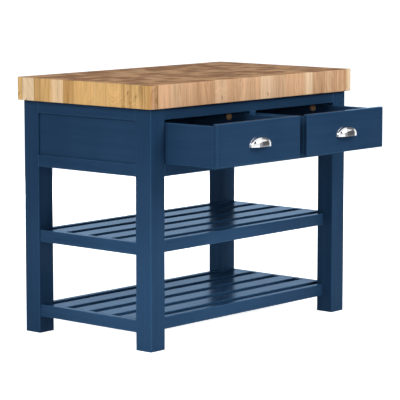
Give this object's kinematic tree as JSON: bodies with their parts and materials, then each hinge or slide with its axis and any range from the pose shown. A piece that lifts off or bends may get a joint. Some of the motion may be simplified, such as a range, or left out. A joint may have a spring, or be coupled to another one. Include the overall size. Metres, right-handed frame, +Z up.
{
  "type": "kitchen island",
  "caption": "Free-standing kitchen island with an end-grain worktop on a painted frame, inset drawers with cup pulls and open slatted shelves.",
  "frame": {"origin": "on the floor, under the middle of the four legs", "axes": "+X to the right along the worktop, +Y towards the back, away from the drawers, +Z up"},
  "size_m": [1.096, 0.872, 0.9],
  "materials": {
    "painted_timber": "satin navy paint on hardwood",
    "end_grain_oak": "oiled, glued end-grain oak blocks",
    "plain_oak": "waxed oak",
    "pull_chrome": "polished chrome plate",
    "screw_steel": "zinc-plated steel"
  },
  "bodies": {
    "frame": {"worktop": "end_grain_oak", "worktop_buttons": "plain_oak", "worktop_screws": "screw_steel", "leg_front_left": "painted_timber", "leg_front_right": "painted_timber", "leg_back_left": "painted_timber", "leg_back_right": "painted_timber", "front_top_rail": "painted_timber", "front_bottom_rail": "painted_timber", "front_muntin": "painted_timber", "back_top_rail": "painted_timber", "back_bottom_rail": "painted_timber", "back_panel": "painted_timber", "left_top_rail": "painted_timber", "left_bottom_rail": "painted_timber", "left_panel": "painted_timber", "right_top_rail": "painted_timber", "right_bottom_rail": "painted_timber", "right_panel": "painted_timber", "runner_left": "painted_timber", "runner_centre": "painted_timber", "runner_right": "painted_timber", "kicker_left": "painted_timber", "kicker_centre": "painted_timber", "kicker_right": "painted_timber", "lower_shelf_front_rail": "painted_timber", "lower_shelf_back_rail": "painted_timber", "lower_shelf_left_rail": "painted_timber", "lower_shelf_right_rail": "painted_timber", "lower_shelf_slat_1": "painted_timber", "lower_shelf_slat_2": "painted_timber", "lower_shelf_slat_3": "painted_timber", "lower_shelf_slat_4": "painted_timber", "middle_shelf_front_rail": "painted_timber", "middle_shelf_back_rail": "painted_timber", "middle_shelf_left_rail": "painted_timber", "middle_shelf_right_rail": "painted_timber", "middle_shelf_slat_1": "painted_timber", "middle_shelf_slat_2": "painted_timber", "middle_shelf_slat_3": "painted_timber", "middle_shelf_slat_4": "painted_timber"},
    "drawer_left": {"drawer_left_front": "painted_timber", "drawer_left_left_side": "painted_timber", "drawer_left_right_side": "painted_timber", "drawer_left_back": "painted_timber", "drawer_left_bottom": "painted_timber", "drawer_left_cup_pull": "pull_chrome", "drawer_left_pull_screws": "screw_steel", "drawer_left_stop_pegs": "plain_oak"},
    "drawer_right": {"drawer_right_front": "painted_timber", "drawer_right_left_side": "painted_timber", "drawer_right_right_side": "painted_timber", "drawer_right_back": "painted_timber", "drawer_right_bottom": "painted_timber", "drawer_right_cup_pull": "pull_chrome", "drawer_right_pull_screws": "screw_steel", "drawer_right_stop_pegs": "plain_oak"}
  },
  "joints": [
    {"name": "drawer_left_slide", "type": "slide", "parent": "frame", "child": "drawer_left", "axis": [0, -1, 0], "range_m": [-0.228, 0.004]},
    {"name": "drawer_right_slide", "type": "slide", "parent": "frame", "child": "drawer_right", "axis": [0, -1, 0], "range_m": [-0.228, 0.004]}
  ]
}
